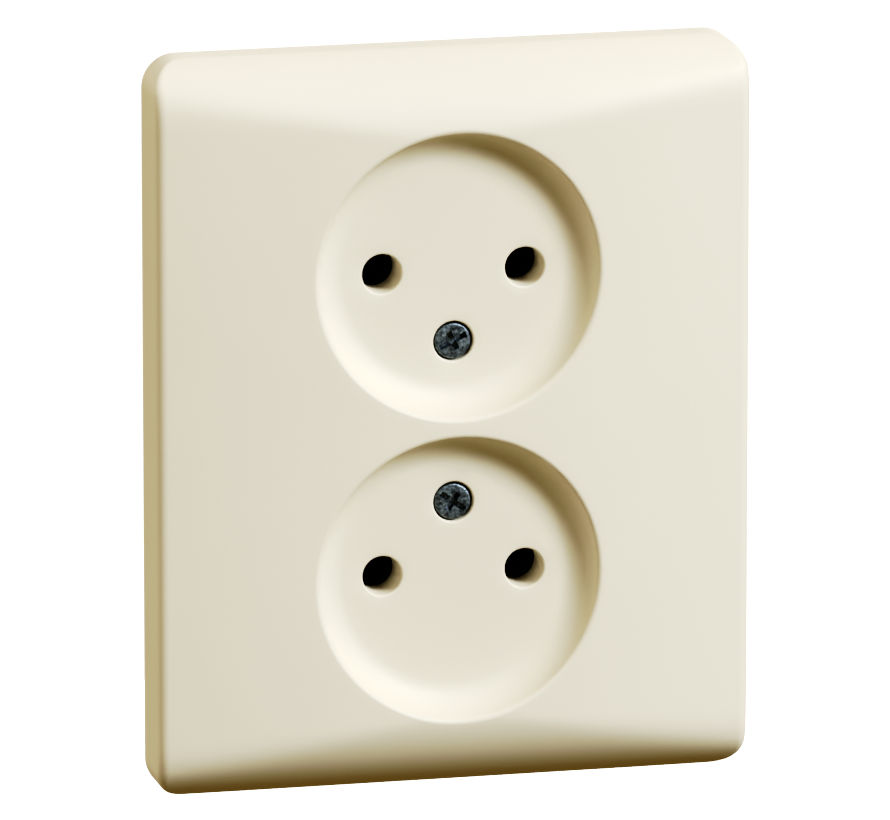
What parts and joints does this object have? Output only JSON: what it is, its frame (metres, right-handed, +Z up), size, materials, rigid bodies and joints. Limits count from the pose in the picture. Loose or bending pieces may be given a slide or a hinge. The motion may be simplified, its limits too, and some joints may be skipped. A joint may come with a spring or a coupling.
{
  "type": "duplex wall outlet",
  "caption": "Duplex wall outlet: crowned moulded cover with round recessed sockets over a framed insert with pin contacts, wire clamps and spreading claws.",
  "frame": {"origin": "middle of the wall surface behind the cover, on the line through the two box screw slots", "axes": "+X right as seen from the room, +Y into the wall, +Z up"},
  "size_m": [0.079, 0.039, 0.098],
  "materials": {
    "ivory_moulding": "satin",
    "dark_zinc": "dull blue-grey zinc plating",
    "white_nylon": "matt",
    "galvanised_steel": "galvanised",
    "zinc_steel": "zinc plated",
    "black_moulding": "matt",
    "brass": "plain",
    "copper_alloy": "plain",
    "spring_steel": "plain",
    "orange_moulding": "matt"
  },
  "bodies": {
    "insert": {"mounting_frame": "galvanised_steel", "frame_rivets": "zinc_steel", "base_housing": "black_moulding", "contact_cover": "black_moulding", "contact_cover_screws": "zinc_steel", "threaded_bush_upper": "brass", "threaded_bush_lower": "brass", "line_busbar": "brass", "neutral_busbar": "brass", "line_contact_upper": "copper_alloy", "line_contact_lower": "copper_alloy", "neutral_contact_upper": "copper_alloy", "neutral_contact_lower": "copper_alloy", "contact_rivets": "copper_alloy", "line_terminal_cage": "zinc_steel", "neutral_terminal_cage": "zinc_steel", "line_clamp_spring": "spring_steel", "neutral_clamp_spring": "spring_steel", "claw_pivot_pins": "zinc_steel"},
    "cover": {"cover_plate": "ivory_moulding"},
    "cover_screw_upper": {"cover_screw_upper": "dark_zinc", "screw_washer_upper": "white_nylon"},
    "cover_screw_lower": {"cover_screw_lower": "dark_zinc", "screw_washer_lower": "white_nylon"},
    "claw_screw_left": {"claw_screw_left": "zinc_steel", "claw_clip_left": "spring_steel"},
    "claw_screw_right": {"claw_screw_right": "zinc_steel", "claw_clip_right": "spring_steel"},
    "claw_wedge_left": {"claw_wedge_left": "brass"},
    "claw_wedge_right": {"claw_wedge_right": "brass"},
    "claw_left": {"claw_left": "galvanised_steel"},
    "claw_right": {"claw_right": "galvanised_steel"},
    "line_release_lever": {"line_release_lever": "orange_moulding"},
    "neutral_release_lever": {"neutral_release_lever": "orange_moulding"}
  },
  "joints": [
    {"name": "cover_pull", "type": "slide", "parent": "insert", "child": "cover", "axis": [0, -1, 0], "range_m": [0, 0.03]},
    {"name": "cover_screw_upper_turn", "type": "hinge", "parent": "cover", "child": "cover_screw_upper", "pos_m": [0, -0.006, 0.0107], "axis": [0, 1, 0], "continuous": true},
    {"name": "cover_screw_lower_turn", "type": "hinge", "parent": "cover", "child": "cover_screw_lower", "pos_m": [0, -0.006, -0.0107], "axis": [0, 1, 0], "continuous": true},
    {"name": "claw_screw_left_turn", "type": "hinge", "parent": "insert", "child": "claw_screw_left", "pos_m": [-0.0213, -0.0012, -0.0074], "axis": [0, 1, 0], "range_deg": [0, 2520.01]},
    {"name": "claw_wedge_left_travel", "type": "slide", "parent": "insert", "child": "claw_wedge_left", "axis": [0, -1, 0], "range_m": [0, 0.0035]},
    {"name": "claw_left_swing", "type": "hinge", "parent": "insert", "child": "claw_left", "pos_m": [-0.0246, 0.0026, -0.0074], "axis": [0, 0, 1], "range_deg": [0, 14.65]},
    {"name": "claw_screw_right_turn", "type": "hinge", "parent": "insert", "child": "claw_screw_right", "pos_m": [0.0213, -0.0012, -0.0074], "axis": [0, 1, 0], "range_deg": [0, 2520.01]},
    {"name": "claw_wedge_right_travel", "type": "slide", "parent": "insert", "child": "claw_wedge_right", "axis": [0, -1, 0], "range_m": [0, 0.0035]},
    {"name": "claw_right_swing", "type": "hinge", "parent": "insert", "child": "claw_right", "pos_m": [0.0246, 0.0026, -0.0074], "axis": [0, 0, -1], "range_deg": [0, 14.65]},
    {"name": "line_release_press", "type": "slide", "parent": "insert", "child": "line_release_lever", "axis": [0, -1, 0], "range_m": [0, 0.0015], "stiffness_N_per_m": 1500},
    {"name": "neutral_release_press", "type": "slide", "parent": "insert", "child": "neutral_release_lever", "axis": [0, -1, 0], "range_m": [0, 0.0015], "stiffness_N_per_m": 1500}
  ],
  "couplings": [
    {"joint": "claw_screw_left_turn", "follows": "claw_wedge_left_travel", "rad_per_m": 12566},
    {"joint": "claw_left_swing", "follows": "claw_wedge_left_travel", "rad_per_m": 73},
    {"joint": "claw_screw_right_turn", "follows": "claw_wedge_right_travel", "rad_per_m": 12566},
    {"joint": "claw_right_swing", "follows": "claw_wedge_right_travel", "rad_per_m": 73}
  ]
}
